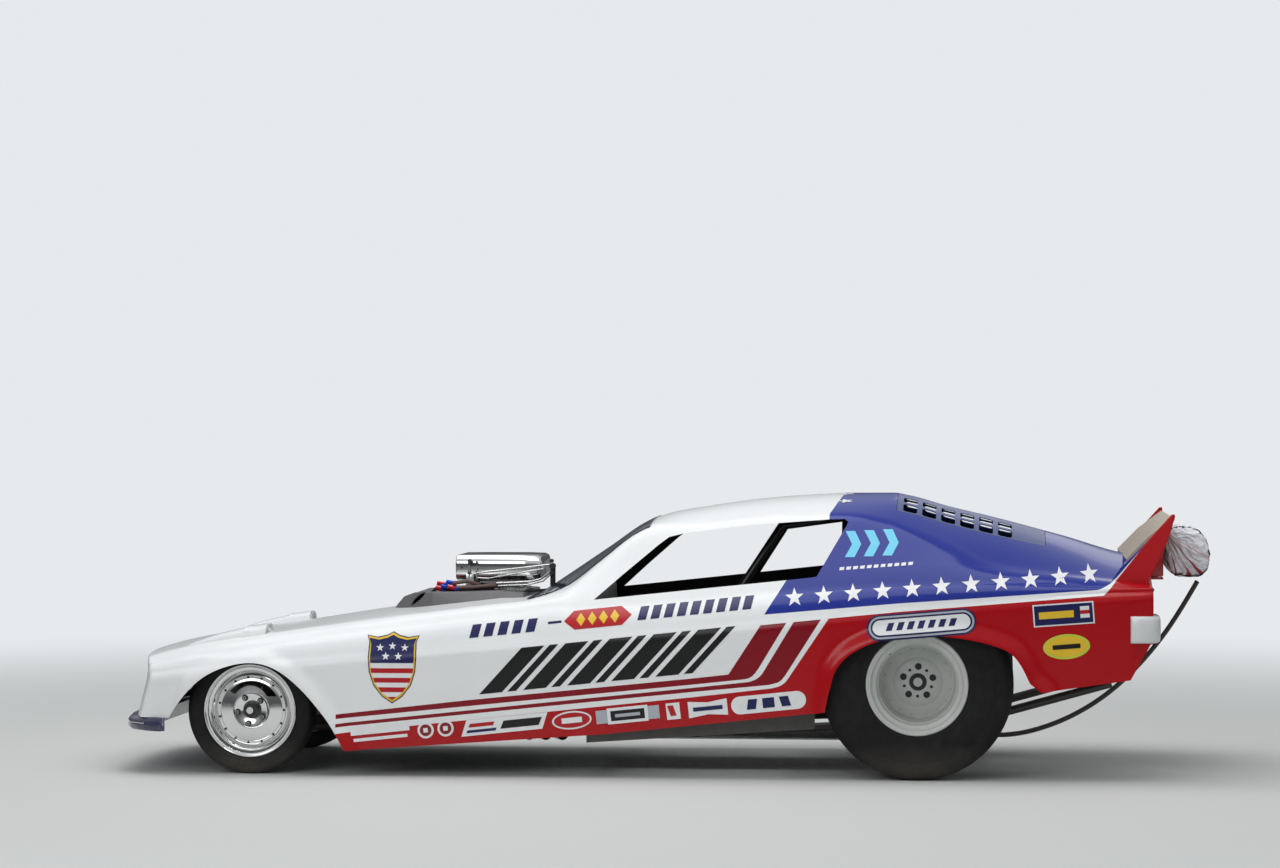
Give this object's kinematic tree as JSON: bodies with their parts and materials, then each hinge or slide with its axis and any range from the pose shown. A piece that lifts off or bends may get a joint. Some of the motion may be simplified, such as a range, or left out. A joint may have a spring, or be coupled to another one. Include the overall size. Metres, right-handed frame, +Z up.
{
  "type": "drag racing car with a flip-up coupe body",
  "caption": "Supercharged drag racing car: tube chassis, wide rear slicks, narrow front wheels and a one-piece coupe body that tips up at the tail.",
  "frame": {"origin": "on the floor, below the middle of the car's length and width", "axes": "+X towards the nose, +Y to the driver's left, +Z up"},
  "size_m": [4.8775, 1.72, 1.2398],
  "materials": {
    "body_paint": "gloss paint over glass fibre: white, blue and red",
    "trim_paint": "satin black",
    "navy_paint": "gloss",
    "silver_blue_paint": "satin metallic",
    "grey_paint": "satin",
    "white_paint": "gloss",
    "red_paint": "gloss",
    "wheel_paint": "pale grey paint",
    "engine_paint": "engine enamel",
    "chassis_paint": "gloss black",
    "lamp_glass": "clear lamp",
    "tinted_glass": "blue-grey tint",
    "red_plastic": "lens",
    "gloss_red": "moulded cap",
    "black_plastic": "grip",
    "pack_cloth": "white and red coated cloth",
    "webbing": "flat woven nylon in a sleeve",
    "seat_leather": "padded",
    "aluminium_sheet": "brushed sheet",
    "cast_metal": "cast",
    "polished_metal": "polished",
    "chrome_plate": "plated",
    "bare_steel": "machined",
    "belt_rubber": "toothed belt",
    "tyre_rubber": "slick"
  },
  "bodies": {
    "chassis": {"frame_rails": "chassis_paint", "roll_cage": "chassis_paint", "belly_pan": "aluminium_sheet", "rocker_panels": "chassis_paint", "firewall": "aluminium_sheet", "driver_seat": "seat_leather", "steering_column": "bare_steel", "fuel_tank": "aluminium_sheet", "engine_block": "engine_paint", "cylinder_heads": "cast_metal", "valve_covers": "cast_metal", "intake_manifold": "cast_metal", "supercharger": "cast_metal", "injector_plate": "cast_metal", "injector_hat": "polished_metal", "supercharger_drive": "belt_rubber", "magneto": "gloss_red", "gearbox": "cast_metal", "driveshaft": "bare_steel", "exhaust_left": "chrome_plate", "exhaust_right": "chrome_plate", "rear_axle_housing": "chassis_paint", "front_axle": "chrome_plate", "parachute_tether": "webbing"},
    "tilt_body": {"body_shell": "body_paint", "windscreen": "tinted_glass", "rear_window_panel": "silver_blue_paint", "engine_cowl": "grey_paint", "front_spoiler": "navy_paint", "grille": "trim_paint", "headlamps": "lamp_glass", "rear_spoiler": "aluminium_sheet", "spoiler_fences": "body_paint", "rear_bumper": "white_paint", "tail_lamps": "red_plastic", "parachute_bracket": "red_paint", "parachute_pack": "pack_cloth", "hinge_arms": "chassis_paint"},
    "left_knuckle": {"knuckle_left": "bare_steel"},
    "right_knuckle": {"knuckle_right": "bare_steel"},
    "tie_rod": {"tie_rod": "chrome_plate"},
    "left_front_wheel": {"front_wheel_left": "polished_metal", "front_tyre_left": "tyre_rubber"},
    "right_front_wheel": {"front_wheel_right": "polished_metal", "front_tyre_right": "tyre_rubber"},
    "rear_wheels": {"rear_wheel_left": "wheel_paint", "rear_tyre_left": "tyre_rubber", "rear_wheel_right": "wheel_paint", "rear_tyre_right": "tyre_rubber", "rear_axle_shaft": "bare_steel"},
    "steering_wheel": {"steering_wheel": "black_plastic"}
  },
  "joints": [
    {"name": "body_tilt", "type": "hinge", "parent": "chassis", "child": "tilt_body", "pos_m": [-2, 0, 0.5], "axis": [0, -1, 0], "range_deg": [0, 35], "deforming": ["parachute_tether"]},
    {"name": "steer_left", "type": "hinge", "parent": "chassis", "child": "left_knuckle", "pos_m": [1.81, 0.572, 0.28], "axis": [0, 0, 1], "range_deg": [-15, 15]},
    {"name": "steer_right", "type": "hinge", "parent": "chassis", "child": "right_knuckle", "pos_m": [1.81, -0.572, 0.28], "axis": [0, 0, 1], "range_deg": [-15, 15]},
    {"name": "tie_rod_slide", "type": "slide", "parent": "chassis", "child": "tie_rod", "axis": [0, -1, 0], "range_m": [-0.03, 0.03]},
    {"name": "steering_wheel_turn", "type": "hinge", "parent": "chassis", "child": "steering_wheel", "pos_m": [-0.18, 0, 0.646], "axis": [-0.9693, 0, 0.2461], "range_deg": [-125, 125]},
    {"name": "left_front_wheel_spin", "type": "hinge", "parent": "left_knuckle", "child": "left_front_wheel", "pos_m": [1.81, 0.65, 0.28], "axis": [0, 1, 0], "continuous": true},
    {"name": "right_front_wheel_spin", "type": "hinge", "parent": "right_knuckle", "child": "right_front_wheel", "pos_m": [1.81, -0.65, 0.28], "axis": [0, 1, 0], "continuous": true},
    {"name": "rear_wheels_spin", "type": "hinge", "parent": "chassis", "child": "rear_wheels", "pos_m": [-1.14, 0, 0.418], "axis": [0, 1, 0], "continuous": true}
  ],
  "couplings": [
    {"joint": "steer_right", "follows": "steer_left", "ratio": 1},
    {"joint": "tie_rod_slide", "follows": "steer_left", "m_per_rad": 0.11},
    {"joint": "steering_wheel_turn", "follows": "steer_left", "ratio": 8}
  ]
}
